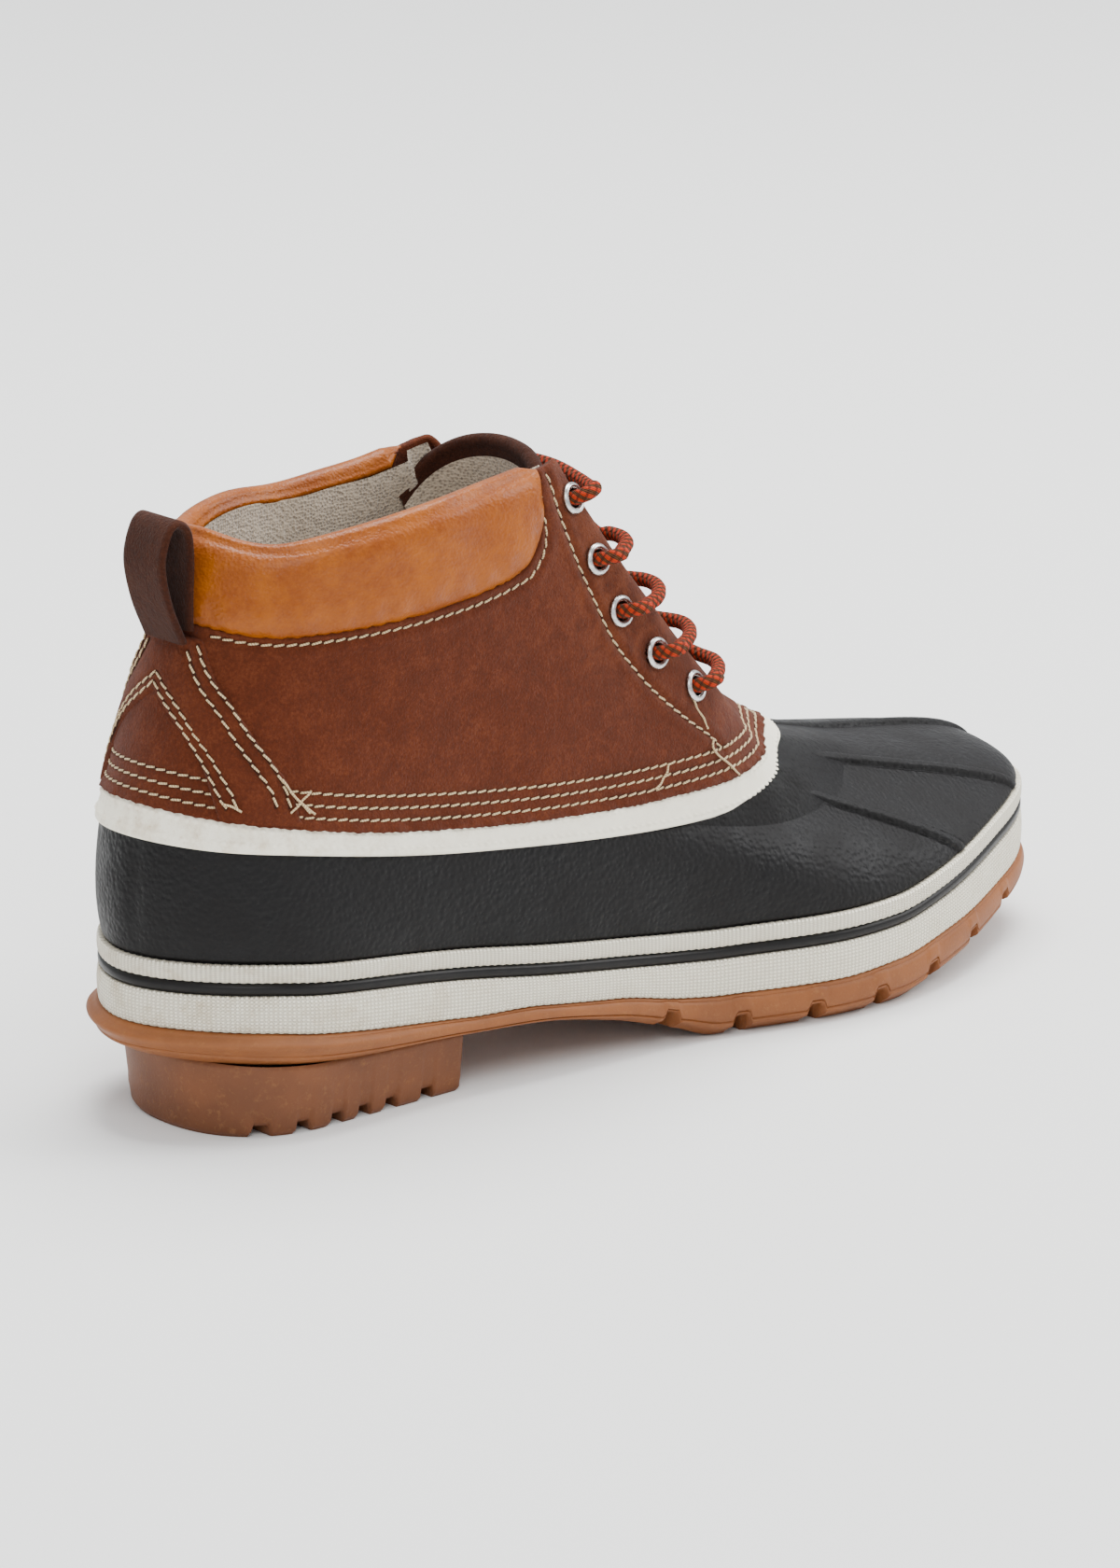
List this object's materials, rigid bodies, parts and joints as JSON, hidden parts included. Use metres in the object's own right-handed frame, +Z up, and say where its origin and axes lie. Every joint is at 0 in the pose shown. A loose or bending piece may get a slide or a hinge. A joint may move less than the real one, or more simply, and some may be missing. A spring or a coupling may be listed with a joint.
{
  "type": "duck boot",
  "caption": "Ankle-high right duck boot: moulded rubber shell, suede upper, padded leather collar, laced front and gum sole with a heel block.",
  "frame": {"origin": "centre of the bounding box, on the floor that the heel and the forefoot stand on", "axes": "+X from heel to toe, +Y to the wearer's left, which is the inner side of this right boot, +Z up"},
  "size_m": [0.3094, 0.1082, 0.1605],
  "materials": {
    "gum_sole": "matt gum rubber",
    "gum_heel": "matt gum rubber, slightly browner",
    "white_foxing": "textured off-white rubber, matt",
    "black_stripe": "smooth black rubber",
    "black_rubber": "leather-grained black rubber, semi-matt",
    "white_rand": "smooth cream rubber with moulded stitches",
    "brown_suede": "napped suede",
    "tan_leather": "smooth padded leather, satin",
    "grey_lining": "brushed grey lining",
    "braided_cord": "round herringbone braid",
    "bright_metal": "bright silver metal"
  },
  "bodies": {
    "root": {"outsole": "gum_sole", "heel": "gum_heel", "foxing_lower": "white_foxing", "foxing_stripe": "black_stripe", "foxing_upper": "white_foxing", "shell": "black_rubber", "rand": "white_rand", "upper": "brown_suede", "collar": "tan_leather", "backstay": "brown_suede", "pull_loop": "brown_suede", "insole": "grey_lining", "tongue": "brown_suede", "lace": "braided_cord", "eyelet_outer_1": "bright_metal", "eyelet_inner_1": "bright_metal", "eyelet_outer_2": "bright_metal", "eyelet_inner_2": "bright_metal", "eyelet_outer_3": "bright_metal", "eyelet_inner_3": "bright_metal", "eyelet_outer_4": "bright_metal", "eyelet_inner_4": "bright_metal", "eyelet_outer_5": "bright_metal", "eyelet_inner_5": "bright_metal"}
  },
  "joints": []
}
